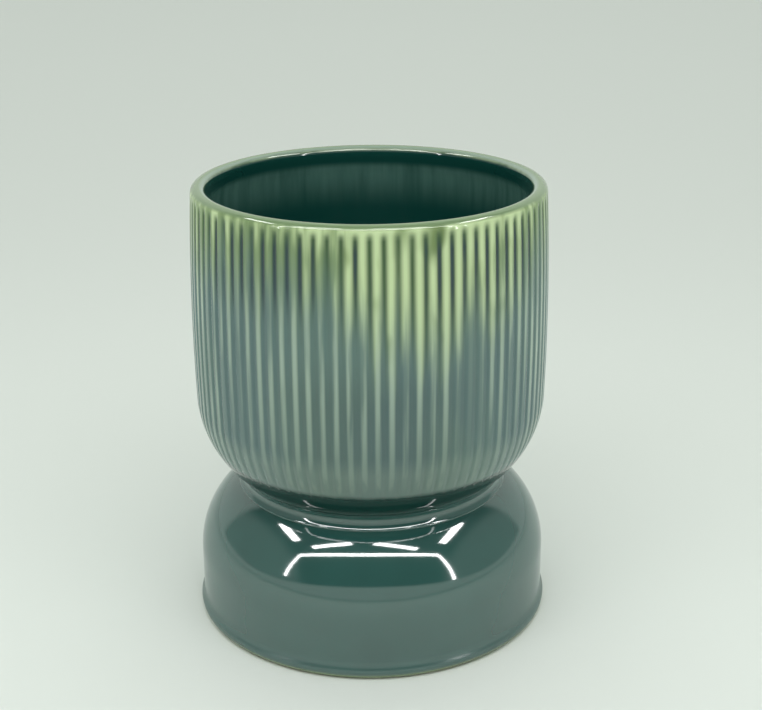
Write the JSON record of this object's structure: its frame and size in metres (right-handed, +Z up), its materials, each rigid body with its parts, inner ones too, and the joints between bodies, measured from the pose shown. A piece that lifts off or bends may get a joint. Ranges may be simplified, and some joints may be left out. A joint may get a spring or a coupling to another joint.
{
  "type": "footed flower pot",
  "caption": "Small glazed stoneware flower pot: a ribbed bowl luted to a smooth hollow drum foot, with a lift-out bung in the bowl's drain hole.",
  "frame": {"origin": "on the pot's axis, in the plane that its standing ring rests on", "axes": "+Z up along the pot's axis; the pot is round, so X and Y are free"},
  "size_m": [0.1474, 0.1474, 0.1807],
  "materials": {
    "bowl_glaze": "glossy reactive glaze, pistachio on the upper ribs, blue grey-green below, deep green inside",
    "foot_glaze": "glossy blue grey-green glaze over stoneware, bare clay on the standing ring",
    "plug_rubber": "matt black rubber"
  },
  "bodies": {
    "pot": {"ribbed_bowl": "bowl_glaze", "pedestal_foot": "foot_glaze", "neck_fillet": "foot_glaze"},
    "plug": {"drain_plug": "plug_rubber"}
  },
  "joints": [
    {"name": "plug_lift", "type": "slide", "parent": "pot", "child": "plug", "axis": [0, 0, 1], "range_m": [0, 0.13]}
  ]
}
